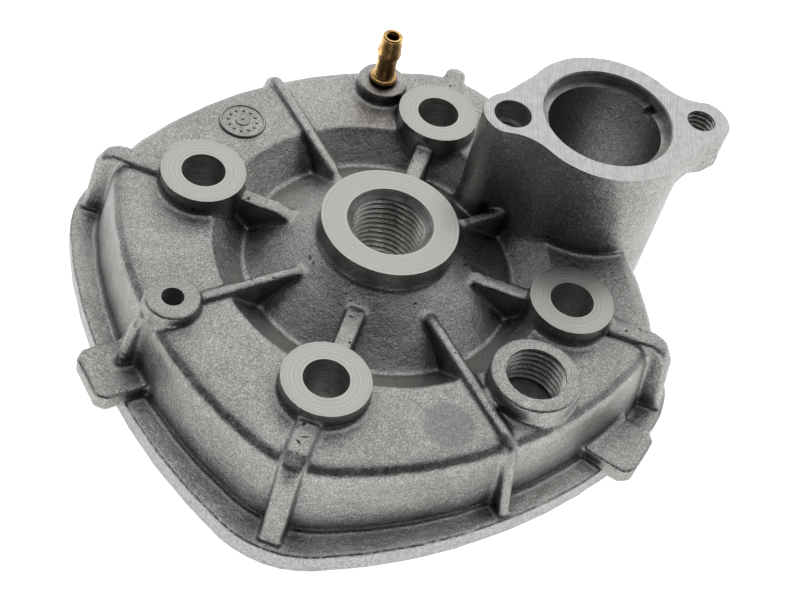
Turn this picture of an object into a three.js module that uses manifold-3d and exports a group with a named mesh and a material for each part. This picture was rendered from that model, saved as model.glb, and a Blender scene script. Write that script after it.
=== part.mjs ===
// Cylinder head of a small liquid-cooled two-stroke engine.
// Millimetres. +Z runs up the spark plug axis, away from the cylinder. The joint face lies on z = 0.
// Every constant and function below works about the plug axis (x = 0, y = 0); the exported group then
// moves the model so that its origin is the middle of its footprint on the joint face.

import * as THREE from 'three';
import { LoftGeometry } from 'three/addons/geometries/LoftGeometry.js';
import { mergeVertices } from 'three/addons/utils/BufferGeometryUtils.js';
import Module from 'manifold-3d';

const wasm = await Module();
wasm.setup();

// Levels above the joint face.
const FLANGE_TOP_Z = 4.1;
const LUG_TOP_Z = 6.6;
const LUG_BOTTOM_Z = 3.1;
const BOWL_Z = 13.6;
const DECK_Z = 18.6;
const STUD_SEAT_Z = 22.1;
const PLUG_SEAT_Z = 25.6;
const HOUSING_FACE_Z = 38.1;
const HOUSING_FOOT_Z = 2;
const CUT_MARGIN = 2;

// Outlines are rounded squares of four long arcs and four short ones: half width, and the two radii.
// The deck's edge sits a little to the right of the plug axis.
const FLANGE = { half: 50.1, side: 100, corner: 19 };
const WALL_FOOT = { half: 46, side: 85, corner: 18 };
const DECK_EDGE = { half: 45.1, side: 75, corner: 18, x: 0.3 };
const JACKET = { half: 41, side: 75, corner: 16 };
const JACKET_SEAL = { half: 44.3, side: 85, corner: 18 };
const EDGE_ROUNDING = 3;

// Bowl, cone and spark plug boss.
const BOWL_RIM_R = 30;
const BOWL_FLOOR_R = 24.2;
const PLUG_BOSS_R = 12.1;
const PLUG_BOSS_FOOT_Z = 21.5;
const PLUG_THREAD_MINOR_R = 6.33;
const PLUG_COUNTERSINK_R = 7.6;

// Combustion chamber: a shallow squish ring round a dome.
const BORE_R = 20.2;
const CHAMBER_R = 15.6;
const SQUISH_OUTER_Z = 0.6;
const SQUISH_INNER_Z = 1.3;
const CHAMBER_ROOF_Z = 7;

// Coolant jacket, open on the joint face.
const JACKET_ROOF_Z = 15;
const CHAMBER_WALL_R = 27;
const CHAMBER_WALL_SHOULDER_Z = 10.5;
const CHAMBER_WALL_TOP_R = 31.5;

// Seal grooves and their round-section rubber rings.
const GROOVE_DEPTH = 2.3;
const GROOVE_HALF_WIDTH = 1.3;
const CHAMBER_SEAL_R = 23.5;
const SEAL_SECTION_R = 1;

// Stud bosses on a square round the plug.
const STUD_SPACING = 48;
const STUD_HOLE_R = 3.85;
const STUD_BOSS_R = 7.5;
const STUD_COLUMN_R = 6.8;

// Thermostat housing.
const HOUSING_X = 42;
const HOUSING_R = 15.5;
const HOUSING_BORE_R = 10.4;
const HOUSING_BORE_FLOOR_Z = 5;
const THERMOSTAT_SEAT_R = 11.7;
const THERMOSTAT_SEAT_DEPTH = 2.4;
const SEAT_NOTCH = { width: 2, depth: 1.8, outerR: 12.6, angle: 5 };
const EAR_OFFSET = { x: 16.6, y: -6.15 };
const EAR_R = 5.3;
const EAR_THICKNESS = 6;
const EAR_BLOCK = { width: 8.6, angle: -20.3, reach: 21.6, depth: 9 };
const COVER_SCREW_R = 2.5;
const COVER_SCREW_DEPTH = 18;
const SLEEVE_HOLE_R = 3.3;
const SLEEVE_HOLE_DEPTH = 5;

// Smaller bosses.
const SENSOR = { x: 9.3, y: -35.6, r: 7.8, top: 22.3, holeR: 5.2, floor: 13.5, foot: 10.3 };
const BLEED = { x: 18.6, y: 36, r: 4.8, top: 21.2, holeR: 2.2 };
const BLIND = { x: -39.9, y: 0.4, r: 4.8, top: 21.1, holeR: 1.9, floor: 13.1, foot: 9.3 };

// Fixture lugs, 120 degrees apart round the flange.
const LUG_ANGLES = [180, 300, 60];
const LUG_WIDTH = 11;
const LUG_INNER_R = 44;
const LUG_REACH = [54.6, 56.7, 56.7];
const LUG_CHAMFER = 1.6;

// Ribs. Deck ribs stand just above the deck; wall ribs run over its edge and down to the flange.
const RIB_TOP_Z = DECK_Z + 1.1;
const THIN_RIB = 2.1;
const THICK_RIB = 3.3;
const CORNER_RIB = 3.9;
const INNER_RIB_TIP_R = 16.3;

// Brass bleed nipple, measured up from the top of its boss.
const NIPPLE = { spigotR: 1.9, spigot: -9, collarR: 2.5, collar: 1.2, shaftR: 1.9, neck: 5.7, barb: 7.2,
  barbR: 2.25, tip: 10.9, tipR: 1.85, boreR: 0.95, gap: 0.3 };

const RAD = Math.PI / 180;
const COARSE = 28;
const FINE = 48;
const SIDE_STEPS = 8;
const CORNER_STEPS = 6;
const ARC_STEPS = 9;

// ---------------------------------------------------------------- solids

function solidOf(geometry) {
  const bare = new THREE.BufferGeometry();
  bare.setAttribute('position', geometry.attributes.position);
  bare.setIndex(geometry.index);
  const merged = mergeVertices(bare, 1e-4);
  return new wasm.Manifold(new wasm.Mesh({
    numProp: 3,
    vertProperties: new Float32Array(merged.attributes.position.array),
    triVerts: new Uint32Array(merged.index.array),
  }));
}

function geometryOf(solid) {
  const mesh = solid.getMesh();
  const geometry = new THREE.BufferGeometry();
  geometry.setAttribute('position', new THREE.BufferAttribute(mesh.vertProperties, 3));
  geometry.setIndex(new THREE.BufferAttribute(mesh.triVerts, 1));
  return geometry;
}

function join(solids) {
  return solids.reduce((sum, solid) => sum.add(solid));
}

function cut(solid, tools) {
  return tools.reduce((rest, tool) => rest.subtract(tool), solid);
}

function cylinder(x, y, radius, low, high, segments = COARSE) {
  const geometry = new THREE.CylinderGeometry(radius, radius, high - low, segments);
  geometry.rotateX(Math.PI / 2);
  geometry.translate(x, y, (low + high) / 2);
  return solidOf(geometry);
}

// A solid of revolution about a vertical line, from [radius, height] pairs running bottom to top.
function turned(x, y, profile, segments = FINE) {
  const points = profile.map(([r, z]) => new THREE.Vector2(r, z));
  const geometry = new THREE.LatheGeometry(points, segments);
  geometry.rotateX(Math.PI / 2);
  geometry.translate(x, y, 0);
  return solidOf(geometry);
}

function extruded(shape, low, high) {
  const geometry = new THREE.ExtrudeGeometry(shape, {
    depth: high - low, bevelEnabled: false, curveSegments: ARC_STEPS,
  });
  geometry.translate(0, 0, low);
  return solidOf(geometry);
}

// ---------------------------------------------------------------- outlines

function arcPoints(x, y, radius, from, to, steps) {
  return Array.from({ length: steps }, (_, step) => {
    const angle = from + ((to - from) * step) / steps;
    return new THREE.Vector2(x + radius * Math.cos(angle), y + radius * Math.sin(angle));
  });
}

function outlinePoints({ half, side, corner }, grow = 0) {
  const back = side - half;
  const middle = (Math.sqrt(2 * (side - corner) ** 2 - back ** 2) - back) / 2;
  const turn = Math.atan2(middle, middle + back);
  const quarter = [
    ...arcPoints(-back, 0, side + grow, -turn, turn, SIDE_STEPS),
    ...arcPoints(middle, middle, corner + grow, turn, Math.PI / 2 - turn, CORNER_STEPS),
  ];
  const origin = new THREE.Vector2(0, 0);
  return [0, 1, 2, 3].flatMap((q) => quarter.map((p) => p.clone().rotateAround(origin, (q * Math.PI) / 2)));
}

function outlineRing(outline, z, grow = 0) {
  const x = outline.x ?? 0;
  return outlinePoints(outline, grow).map((p) => new THREE.Vector3(p.x + x, p.y, z));
}

function prism(outline, low, high, grow = 0) {
  return extruded(new THREE.Shape(outlinePoints(outline, grow)), low, high);
}

// The thermostat housing's flange: a disc with an ear each side, the same when turned half round.
function housingOutline(withRightEar) {
  const shape = new THREE.Shape();
  const side = (turn) => {
    const flip = turn ? -1 : 1;
    const ear = { x: flip * EAR_OFFSET.x, y: flip * EAR_OFFSET.y };
    const at = (r, degrees) => [
      flip * r * Math.cos(degrees * RAD), flip * r * Math.sin(degrees * RAD),
    ];
    const base = turn ? Math.PI : 0;
    if (turn || withRightEar) {
      shape.absarc(ear.x, ear.y, EAR_R, base - 105 * RAD, base + 40 * RAD, false);
      shape.quadraticCurveTo(flip * 16.2, flip * -0.9, ...at(HOUSING_R, 14));
    }
    const from = turn || withRightEar ? 14 : -62;
    shape.absarc(0, 0, HOUSING_R, base + from * RAD, base + 118 * RAD, false);
  };
  shape.moveTo(HOUSING_R * Math.cos(-62 * RAD), HOUSING_R * Math.sin(-62 * RAD));
  side(false);
  side(true);
  return shape;
}

// ---------------------------------------------------------------- casting: outside

function bodyShell() {
  const rings = [outlineRing(WALL_FOOT, FLANGE_TOP_Z - 1), outlineRing(WALL_FOOT, FLANGE_TOP_Z)];
  const steps = 3;
  for (let step = 0; step <= steps; step += 1) {
    const angle = (step / steps) * Math.PI / 2;
    const inset = EDGE_ROUNDING * (1 - Math.cos(angle));
    const height = DECK_Z - EDGE_ROUNDING * (1 - Math.sin(angle));
    rings.push(outlineRing(DECK_EDGE, height, -inset));
  }
  const wall = solidOf(new LoftGeometry(rings, { capStart: true, capEnd: true }));
  return wall.add(prism(FLANGE, 0, FLANGE_TOP_Z));
}

function bowlCut() {
  return turned(0, 0, [
    [0, BOWL_Z], [BOWL_FLOOR_R, BOWL_Z], [BOWL_RIM_R, DECK_Z - 0.2],
    [BOWL_RIM_R + 0.3, DECK_Z + CUT_MARGIN], [0, DECK_Z + CUT_MARGIN],
  ]);
}

function plugBoss() {
  return turned(0, 0, [
    [0, BOWL_Z - 1], [BOWL_FLOOR_R + 1.4, BOWL_Z - 1], [BOWL_FLOOR_R, BOWL_Z],
    [PLUG_BOSS_R, PLUG_BOSS_FOOT_Z], [PLUG_BOSS_R, PLUG_SEAT_Z], [0, PLUG_SEAT_Z],
  ]);
}

function studPositions() {
  const half = STUD_SPACING / 2;
  return [[-half, half], [half, half], [half, -half], [-half, -half]];
}

function thermostatHousing() {
  const foot = cylinder(0, 0, HOUSING_R, HOUSING_FOOT_Z, DECK_Z, FINE);
  const column = extruded(housingOutline(false), BOWL_Z - 1, HOUSING_FACE_Z);
  const flange = extruded(housingOutline(true), HOUSING_FACE_Z - EAR_THICKNESS, HOUSING_FACE_Z);
  return join([foot, column, flange]).translate([HOUSING_X, 0, 0]);
}

// The block that thickens the right ear towards the column.
function earBlock() {
  const level = (depth) => HOUSING_FACE_Z - depth;
  const { reach, depth } = EAR_BLOCK;
  return rib(EAR_BLOCK.angle, EAR_BLOCK.width, [
    [HOUSING_R - 3, level(depth + 4)], [HOUSING_R + 0.5, level(depth + 0.8)], [reach - 2, level(depth)],
    [reach, level(depth - 2)], [reach, level(EAR_THICKNESS - 1)], [HOUSING_R - 3, level(EAR_THICKNESS - 1)],
  ]).translate([HOUSING_X, 0, 0]);
}

function fixtureLug(degrees, reach) {
  const half = LUG_WIDTH / 2;
  const shape = new THREE.Shape([
    new THREE.Vector2(LUG_INNER_R, -half),
    new THREE.Vector2(reach - LUG_CHAMFER, -half),
    new THREE.Vector2(reach, -half + LUG_CHAMFER),
    new THREE.Vector2(reach, half - LUG_CHAMFER),
    new THREE.Vector2(reach - LUG_CHAMFER, half),
    new THREE.Vector2(LUG_INNER_R, half),
  ]);
  return extruded(shape, LUG_BOTTOM_Z, LUG_TOP_Z).rotate([0, 0, degrees]);
}

// A radial rib from its side view: [radius, height] pairs, run out along an angle.
function rib(degrees, width, sideView) {
  const shape = new THREE.Shape(sideView.map(([r, z]) => new THREE.Vector2(r, z)));
  const geometry = new THREE.ExtrudeGeometry(shape, { depth: width, bevelEnabled: false });
  geometry.translate(0, 0, -width / 2);
  geometry.rotateX(Math.PI / 2);
  geometry.rotateZ(degrees * RAD);
  return solidOf(geometry);
}

// From the bowl's cone out to the deck: pointed where it runs into the cone.
function innerRib(degrees, width, outerR, tipR = INNER_RIB_TIP_R) {
  return rib(degrees, width, [
    [tipR - 2, BOWL_Z], [tipR - 2, RIB_TOP_Z - 1.2], [tipR + 1.5, RIB_TOP_Z], [outerR, RIB_TOP_Z],
    [outerR, BOWL_Z],
  ]);
}

// Over the deck's edge and down the wall to the flange.
function wallRib(degrees, width, innerR, edgeR, footR, footZ = FLANGE_TOP_Z) {
  return rib(degrees, width, [
    [innerR, DECK_Z - 2], [edgeR - 6, FLANGE_TOP_Z - 0.5], [footR, FLANGE_TOP_Z - 0.5],
    [footR, footZ + 1.2], [edgeR + 0.6, DECK_Z - 3.2], [edgeR - 1, DECK_Z - 0.2],
    [edgeR - 3.4, RIB_TOP_Z], [innerR, RIB_TOP_Z],
  ]);
}

function ribs() {
  const straight = [0, 90, 180, 270];
  const corners = [45, 135, 225, 315];
  const cornerTips = [15.5, 18.2, 15.2, 16];
  const cornerFeet = [55.2, 55.2, 55.1, 55.5];
  const cornerEdges = [52.6, 53, 50.9, 53.3];
  const innerEnds = [28, 42, 36, 41];
  const tips = [15, 18.5, 16, 16.5];
  return [
    ...straight.map((angle, i) => innerRib(angle, THIN_RIB, innerEnds[i], tips[i])),
    ...corners.map((angle, i) => innerRib(angle, THICK_RIB, 30, cornerTips[i])),
    ...corners.map((angle, i) => wallRib(angle, CORNER_RIB, 36, cornerEdges[i], cornerFeet[i])),
    wallRib(90, THIN_RIB, 38, 46.4, 49.2),
    wallRib(270, THIN_RIB, 38, 45.8, 49.2),
    wallRib(179, THIN_RIB, 41, 46.2, 48.8, LUG_TOP_Z),
  ];
}

function outsideShape() {
  const shell = cut(bodyShell(), [bowlCut()]);
  const bosses = [
    plugBoss(),
    ...studPositions().map(([x, y]) => cylinder(x, y, STUD_BOSS_R, BOWL_Z - 1, STUD_SEAT_Z)),
    ...[SENSOR, BLEED, BLIND].map((b) => cylinder(b.x, b.y, b.r, DECK_Z - 4, b.top)),
    thermostatHousing(),
    earBlock(),
    ...LUG_ANGLES.map((angle, i) => fixtureLug(angle, LUG_REACH[i])),
  ];
  return join([shell, ...bosses, ...ribs()]);
}

// ---------------------------------------------------------------- casting: inside

function coolantJacket() {
  const core = turned(0, 0, [
    [0, -2 * CUT_MARGIN], [CHAMBER_WALL_R, -2 * CUT_MARGIN], [CHAMBER_WALL_R, CHAMBER_WALL_SHOULDER_Z],
    [CHAMBER_WALL_TOP_R, JACKET_ROOF_Z + 1], [0, JACKET_ROOF_Z + 1],
  ]);
  const columns = [
    ...studPositions().map(([x, y]) => cylinder(x, y, STUD_COLUMN_R, -2 * CUT_MARGIN, DECK_Z)),
    cylinder(SENSOR.x, SENSOR.y, SENSOR.r, SENSOR.foot, DECK_Z),
    cylinder(BLIND.x, BLIND.y, BLIND.r, BLIND.foot, DECK_Z),
  ];
  return cut(prism(JACKET, -CUT_MARGIN, JACKET_ROOF_Z), [core, ...columns]);
}

function chamberCut() {
  return turned(0, 0, [
    [0, -CUT_MARGIN], [BORE_R, -CUT_MARGIN], [BORE_R, SQUISH_OUTER_Z], [CHAMBER_R, SQUISH_INNER_Z],
    [CHAMBER_R - 1.2, 3.2], [CHAMBER_R - 4, 5.2], [CHAMBER_R - 8, CHAMBER_ROOF_Z], [0, CHAMBER_ROOF_Z],
  ]);
}

function plugHole() {
  return turned(0, 0, [
    [0, -CUT_MARGIN], [PLUG_THREAD_MINOR_R, -CUT_MARGIN], [PLUG_THREAD_MINOR_R, PLUG_SEAT_Z - 1.3],
    [PLUG_COUNTERSINK_R, PLUG_SEAT_Z], [PLUG_COUNTERSINK_R, PLUG_SEAT_Z + CUT_MARGIN],
    [0, PLUG_SEAT_Z + CUT_MARGIN],
  ], 48);
}

function sealGrooves() {
  const chamber = cylinder(0, 0, CHAMBER_SEAL_R + GROOVE_HALF_WIDTH, -CUT_MARGIN, GROOVE_DEPTH, FINE)
    .subtract(cylinder(0, 0, CHAMBER_SEAL_R - GROOVE_HALF_WIDTH, -2 * CUT_MARGIN, DECK_Z, FINE));
  const jacket = prism(JACKET_SEAL, -CUT_MARGIN, GROOVE_DEPTH, GROOVE_HALF_WIDTH)
    .subtract(prism(JACKET_SEAL, -2 * CUT_MARGIN, DECK_Z, -GROOVE_HALF_WIDTH));
  return [chamber, jacket];
}

function housingCuts() {
  const top = HOUSING_FACE_Z + CUT_MARGIN;
  const seatZ = HOUSING_FACE_Z - THERMOSTAT_SEAT_DEPTH;
  const left = { x: HOUSING_X - EAR_OFFSET.x, y: -EAR_OFFSET.y };
  const right = { x: HOUSING_X + EAR_OFFSET.x, y: EAR_OFFSET.y };
  const notch = new THREE.BoxGeometry(SEAT_NOTCH.outerR, SEAT_NOTCH.width, SEAT_NOTCH.depth);
  notch.translate(SEAT_NOTCH.outerR / 2, 0, seatZ - SEAT_NOTCH.depth / 2 + 0.4);
  notch.rotateZ(SEAT_NOTCH.angle * RAD);
  notch.translate(HOUSING_X, 0, 0);
  return [
    cylinder(HOUSING_X, 0, HOUSING_BORE_R, HOUSING_BORE_FLOOR_Z, top, FINE),
    cylinder(HOUSING_X, 0, THERMOSTAT_SEAT_R, seatZ, top, FINE),
    solidOf(notch),
    cylinder(left.x, left.y, SLEEVE_HOLE_R, HOUSING_FACE_Z - SLEEVE_HOLE_DEPTH, top),
    cylinder(left.x, left.y, COVER_SCREW_R, HOUSING_FACE_Z - COVER_SCREW_DEPTH, top),
    cylinder(right.x, right.y, COVER_SCREW_R, HOUSING_FACE_Z - EAR_BLOCK.depth - CUT_MARGIN, top),
  ];
}

function headCasting() {
  const holes = [
    chamberCut(),
    plugHole(),
    ...sealGrooves(),
    ...studPositions().map(([x, y]) => cylinder(x, y, STUD_HOLE_R, -CUT_MARGIN, STUD_SEAT_Z + CUT_MARGIN)),
    cylinder(SENSOR.x, SENSOR.y, SENSOR.holeR, SENSOR.floor, SENSOR.top + CUT_MARGIN),
    cylinder(BLIND.x, BLIND.y, BLIND.holeR, BLIND.floor, BLIND.top + CUT_MARGIN),
    cylinder(BLEED.x, BLEED.y, BLEED.holeR, JACKET_ROOF_Z - CUT_MARGIN, BLEED.top + CUT_MARGIN),
    ...housingCuts(),
  ];
  return cut(outsideShape(), [coolantJacket(), ...holes]);
}

// ---------------------------------------------------------------- fitted pieces

function bleedNipple() {
  const z = (height) => BLEED.top + height;
  return turned(BLEED.x, BLEED.y, [
    [NIPPLE.boreR, z(NIPPLE.spigot)], [NIPPLE.spigotR, z(NIPPLE.spigot)],
    [NIPPLE.spigotR, z(NIPPLE.gap)], [NIPPLE.collarR, z(NIPPLE.gap)],
    [NIPPLE.collarR, z(NIPPLE.collar - 0.3)], [NIPPLE.collarR - 0.3, z(NIPPLE.collar)],
    [NIPPLE.shaftR, z(NIPPLE.collar)], [NIPPLE.shaftR, z(NIPPLE.neck)],
    [NIPPLE.barbR, z(NIPPLE.barb - 0.4)], [NIPPLE.barbR, z(NIPPLE.barb)],
    [NIPPLE.tipR, z(NIPPLE.tip)], [NIPPLE.boreR + 0.4, z(NIPPLE.tip)],
    [NIPPLE.boreR, z(NIPPLE.tip - 0.5)], [NIPPLE.boreR, z(NIPPLE.spigot)],
  ], COARSE);
}

// A round-section ring swept along a flat outline, its underside level with the joint face.
function sealRing(pathAt, steps) {
  const sections = [];
  const sides = 12;
  for (let side = 0; side < sides; side += 1) {
    const angle = (side / sides) * 2 * Math.PI;
    const ring = pathAt(SEAL_SECTION_R * Math.cos(angle));
    sections.push(ring.map((p) => new THREE.Vector3(p.x, p.y, SEAL_SECTION_R * (1 + Math.sin(angle)))));
  }
  sections.push(sections[0].map((p) => p.clone()));
  return solidOf(new LoftGeometry(sections, { closed: true }));
}

function chamberSealRing() {
  return sealRing((grow) => {
    const points = [];
    for (let step = 0; step < FINE; step += 1) {
      const angle = (step / FINE) * 2 * Math.PI;
      points.push(new THREE.Vector2(Math.cos(angle), Math.sin(angle)).multiplyScalar(CHAMBER_SEAL_R + grow));
    }
    return points;
  });
}

function jacketSealRing() {
  return sealRing((grow) => outlinePoints(JACKET_SEAL, grow));
}

// ---------------------------------------------------------------- the assembly

const aluminium = new THREE.MeshStandardMaterial({ color: 0x7d7b79, roughness: 0.62, metalness: 0.8 });
const brass = new THREE.MeshStandardMaterial({ color: 0x9a7440, roughness: 0.35, metalness: 1 });
const rubber = new THREE.MeshStandardMaterial({ color: 0x1b1b1c, roughness: 0.8, metalness: 0 });

function named(name, solid, material) {
  const mesh = new THREE.Mesh(geometryOf(solid), material);
  mesh.name = name;
  return mesh;
}

const head = new THREE.Group();
head.add(
  named('head_casting', headCasting(), aluminium),
  named('bleed_nipple', bleedNipple(), brass),
  named('chamber_seal_ring', chamberSealRing(), rubber),
  named('jacket_seal_ring', jacketSealRing(), rubber),
);
head.updateMatrixWorld(true);
const footprint = new THREE.Box3().setFromObject(head).getCenter(new THREE.Vector3());
head.position.set(-footprint.x, -footprint.y, 0);

export default head;
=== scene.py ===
"""Looks of the cylinder head: a grainy aluminium casting with machined seats and cut threads, a turned
brass bleed nipple and rubber seal rings, on a pale studio floor.

Shapes are worked out in millimetres about the spark plug axis, at the CAD's heights, and become metres
in the CAD's frame only when a mesh is made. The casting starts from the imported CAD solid. It gets
material left on for machining, has its corners rounded in a level set as a foundry would, and is then
cut to size with sharp tools.
"""

import math

import bpy
import numpy as np
import openvdb
from mathutils import Matrix, Vector


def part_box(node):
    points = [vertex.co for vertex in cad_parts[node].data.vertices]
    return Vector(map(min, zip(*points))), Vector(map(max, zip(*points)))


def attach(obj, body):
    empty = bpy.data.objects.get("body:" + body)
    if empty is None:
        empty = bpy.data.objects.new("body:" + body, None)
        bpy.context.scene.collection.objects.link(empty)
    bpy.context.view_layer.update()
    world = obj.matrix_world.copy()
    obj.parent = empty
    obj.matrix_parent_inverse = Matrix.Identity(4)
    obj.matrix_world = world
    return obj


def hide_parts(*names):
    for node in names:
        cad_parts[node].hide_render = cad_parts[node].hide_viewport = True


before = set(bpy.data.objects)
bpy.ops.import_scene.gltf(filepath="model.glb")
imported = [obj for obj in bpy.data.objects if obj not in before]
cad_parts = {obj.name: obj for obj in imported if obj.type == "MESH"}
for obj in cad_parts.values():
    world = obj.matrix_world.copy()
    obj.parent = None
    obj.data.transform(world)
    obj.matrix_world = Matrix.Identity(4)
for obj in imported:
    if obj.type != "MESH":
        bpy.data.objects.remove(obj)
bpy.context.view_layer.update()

MM = 0.001
TAU = 2 * math.pi

# ------------------------------------------------------------------ sizes, in millimetres

ring_low, ring_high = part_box("chamber_seal_ring")
PLUG_X = (ring_low[0] + ring_high[0]) / 2 / MM
HOUSING_FACE_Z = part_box("head_casting")[1][2] / MM
nipple_low, nipple_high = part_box("bleed_nipple")
NIPPLE_X = (nipple_low[0] + nipple_high[0]) / 2 / MM - PLUG_X
NIPPLE_Y = (nipple_low[1] + nipple_high[1]) / 2 / MM
NIPPLE_HEIGHT = 10.9

FLANGE_TOP_Z = 4.1
DECK_Z = 18.6
STUD_SEAT_Z = 22.1
PLUG_SEAT_Z = 25.6
PLUG_SEAT_R = 14
CHAMBER_MOUTH_R = 20.2
CHAMBER_TOP_Z = 7.3
STUDS = [(-24, 24), (24, 24), (24, -24), (-24, -24)]
STUD_HOLE_R = 3.85
SPOT_FACE_R = 8.6
HOUSING_X = 42
HOUSING_BORE_R = 10.4
HOUSING_FILL_Z = 17
SEAT_R = 11.7
SEAT_Z = HOUSING_FACE_Z - 2.4
EAR = (16.6, -6.15)
EAR_BOTTOM_Z = HOUSING_FACE_Z - 9
RIGHT_THREAD_Z = HOUSING_FACE_Z - 7.4
RIGHT_THREAD_TOP_Z = HOUSING_FACE_Z - 0.3
LEFT_EAR = (HOUSING_X - EAR[0], -EAR[1])
RIGHT_EAR = (HOUSING_X + EAR[0], EAR[1])
COUNTERBORE_R = 3.3
COUNTERBORE_Z = HOUSING_FACE_Z - 4.2
LEFT_THREAD_Z = 21
LEFT_THREAD_TOP_Z = HOUSING_FACE_Z - 4.4
SENSOR = (9.3, -35.6)
SENSOR_TOP_Z = 22.3
SENSOR_FLOOR_Z = 13.5
SENSOR_LIP_Z = SENSOR_TOP_Z - 0.5
BLIND = (-39.9, 0.4)
BLIND_TOP_Z = 21.1
BLIND_FLOOR_Z = 13.1
BLIND_R = 1.9
EJECTOR_DISC = (-7.8, -37.3)
EJECTOR_R = 5
DATE_DIAL = (-10.5, 36)

# The seals' centre lines, and the two seal grooves' half width and depth.
JACKET_HALF, JACKET_SIDE, JACKET_CORNER = 44.3, 85, 18
CHAMBER_SEAL_R = 23.5
GROOVE_HALF = 1.3
GROOVE_DEPTH = 2.3

# The ribs' round tops: the radius of each kind, and the height that they reach. On the deck, a rib has
# its angle and how far out it leaves the cone, is level and ends. A corner rib has its angle and how
# far out the deck's edge and its own foot are. A wall rib has its angle and how far out it turns over
# the deck's edge, stands under it and runs down the wall.
THIN_BAR, THICK_BAR, CORNER_BAR = 1.15, 1.5, 1.75
LEVEL = DECK_Z + 1.2
THIN_RIBS = [(0, 17, 19.5, 28), (90, 19.5, 21.5, 43.4), (180, 17.5, 20, 36), (270, 17.5, 20, 42.4)]
THICK_RIBS = [(45, 17, 19.5, 27), (135, 20, 22, 27), (225, 17, 19.5, 27), (315, 17.5, 20, 27)]
CORNER_RIBS = [(45, 52.6, 55.2), (135, 53, 55.2), (225, 50.9, 55.1), (315, 53.3, 55.5)]
WALL_RIBS = [(90, 43.4, 45, 46), (270, 42.4, 44.4, 45.5)]

# Cut threads: radius to the crests, radius to the roots, pitch. Each is a sleeve of its own, let into
# a bore cut a little wider than its roots, so that no two surfaces lie in the same place.
PLUG_THREAD = (6.33, 7.0, 1.25)
SENSOR_THREAD = (5.05, 5.75, 1.25)
COVER_THREAD = (2.5, 3.0, 1.0)
ROOT_CLEARANCE = 0.12
PLUG_BORE_R = PLUG_THREAD[1] + ROOT_CLEARANCE
SENSOR_BORE_R = SENSOR_THREAD[1] + ROOT_CLEARANCE
COVER_BORE_R = COVER_THREAD[1] + ROOT_CLEARANCE

# Machining allowance and foundry radii.
ALLOWANCE = 2
FILLET = 0.4
EDGE_RADIUS = 0.22
RIB_EDGE_RADIUS = 0.8
VOXEL = 0.3
CASTING_TRIANGLES = 185_000

# ------------------------------------------------------------------ small solids


def circle(radius, steps):
    angles = [TAU * i / steps for i in range(steps)]
    return [(radius * math.cos(a), radius * math.sin(a)) for a in angles]


def lathe(profile, x=0, y=0, steps=64):
    """A closed solid of revolution from (radius, height) pairs, from the axis below to the axis above."""
    points, rings = [], []
    for r, z in profile:
        if r == 0:
            rings.append([len(points)] * steps)
            points.append((x, y, z))
            continue
        rings.append(list(range(len(points), len(points) + steps)))
        points += [(x + dx, y + dy, z) for dx, dy in circle(r, steps)]
    faces = []
    for low, high in zip(rings, rings[1:]):
        for i in range(steps):
            j = (i + 1) % steps
            face = list(dict.fromkeys((low[i], low[j], high[j], high[i])))
            if len(face) > 2:
                faces.append(face)
    return points, faces


def cylinder(centre, radius, low, high, steps=64):
    return lathe([(0, low), (radius, low), (radius, high), (0, high)], *centre, steps)


def swept(loops):
    """A closed ring-shaped solid: each loop goes round the ring, and the loops go round its section."""
    count, steps = len(loops), len(loops[0])
    points = [p for loop in loops for p in loop]
    faces = []
    for k in range(count):
        a, b = k * steps, (k + 1) % count * steps
        for i in range(steps):
            j = (i + 1) % steps
            faces.append([a + i, a + j, b + j, b + i])
    return points, faces


def box(x0, x1, y0, y1, z0, z1):
    points = [(x, y, z) for z in (z0, z1) for x, y in ((x0, y0), (x1, y0), (x1, y1), (x0, y1))]
    return points, [[3, 2, 1, 0], [4, 5, 6, 7], [0, 1, 5, 4], [1, 2, 6, 5], [2, 3, 7, 6], [3, 0, 4, 7]]


def turned_by(solid, degrees, x=0, y=0):
    """The solid turned about the vertical through the origin, then moved."""
    c, s = math.cos(math.radians(degrees)), math.sin(math.radians(degrees))
    points, faces = solid
    return [(c * px - s * py + x, s * px + c * py + y, pz) for px, py, pz in points], faces


def rounded_square(half, side, corner, steps=14):
    """Four long arcs joined by four short ones, the outline the flange, walls and jacket share."""
    back = side - half
    middle = (math.sqrt(2 * (side - corner) ** 2 - back**2) - back) / 2
    turn = math.atan2(middle, middle + back)
    quarter = []
    for i in range(steps):
        a = -turn + 2 * turn * i / steps
        quarter.append((side * math.cos(a) - back, side * math.sin(a)))
    for i in range(steps):
        a = turn + (math.pi / 2 - 2 * turn) * i / steps
        quarter.append((middle + corner * math.cos(a), middle + corner * math.sin(a)))
    return [turned_by(([(x, y, 0)], []), 90 * q)[0][0][:2] for q in range(4) for x, y in quarter]


def jacket_line(grow):
    """The jacket seal's centre line, offset outwards."""
    return rounded_square(JACKET_HALF + grow, JACKET_SIDE + grow, JACKET_CORNER + grow)


def jacket_ring(spread, low, high):
    """A square-section ring along the jacket seal's centre line."""
    outer, inner = jacket_line(spread), jacket_line(-spread)
    corners = ((outer, low), (outer, high), (inner, high), (inner, low))
    return swept([[(x, y, z) for x, y in outline] for outline, z in corners])


def ring(inner, outer, low, high, steps=96):
    """A square-section ring about the plug axis."""
    corners = ((outer, low), (outer, high), (inner, high), (inner, low))
    return swept([[(x, y, z) for x, y in circle(r, steps)] for r, z in corners])


def mesh_of(name, solids):
    """One Blender mesh, in metres in the CAD's frame, from solids about the plug axis."""
    points, faces = [], []
    for solid_points, solid_faces in solids:
        base = len(points)
        points += solid_points
        faces += [[base + i for i in face] for face in solid_faces]
    mesh = bpy.data.meshes.new(name)
    mesh.from_pydata([((x + PLUG_X) * MM, y * MM, z * MM) for x, y, z in points], [], faces)
    mesh.update()
    return mesh


def add_object(name, mesh):
    obj = bpy.data.objects.new(name, mesh)
    bpy.context.scene.collection.objects.link(obj)
    return obj


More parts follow.
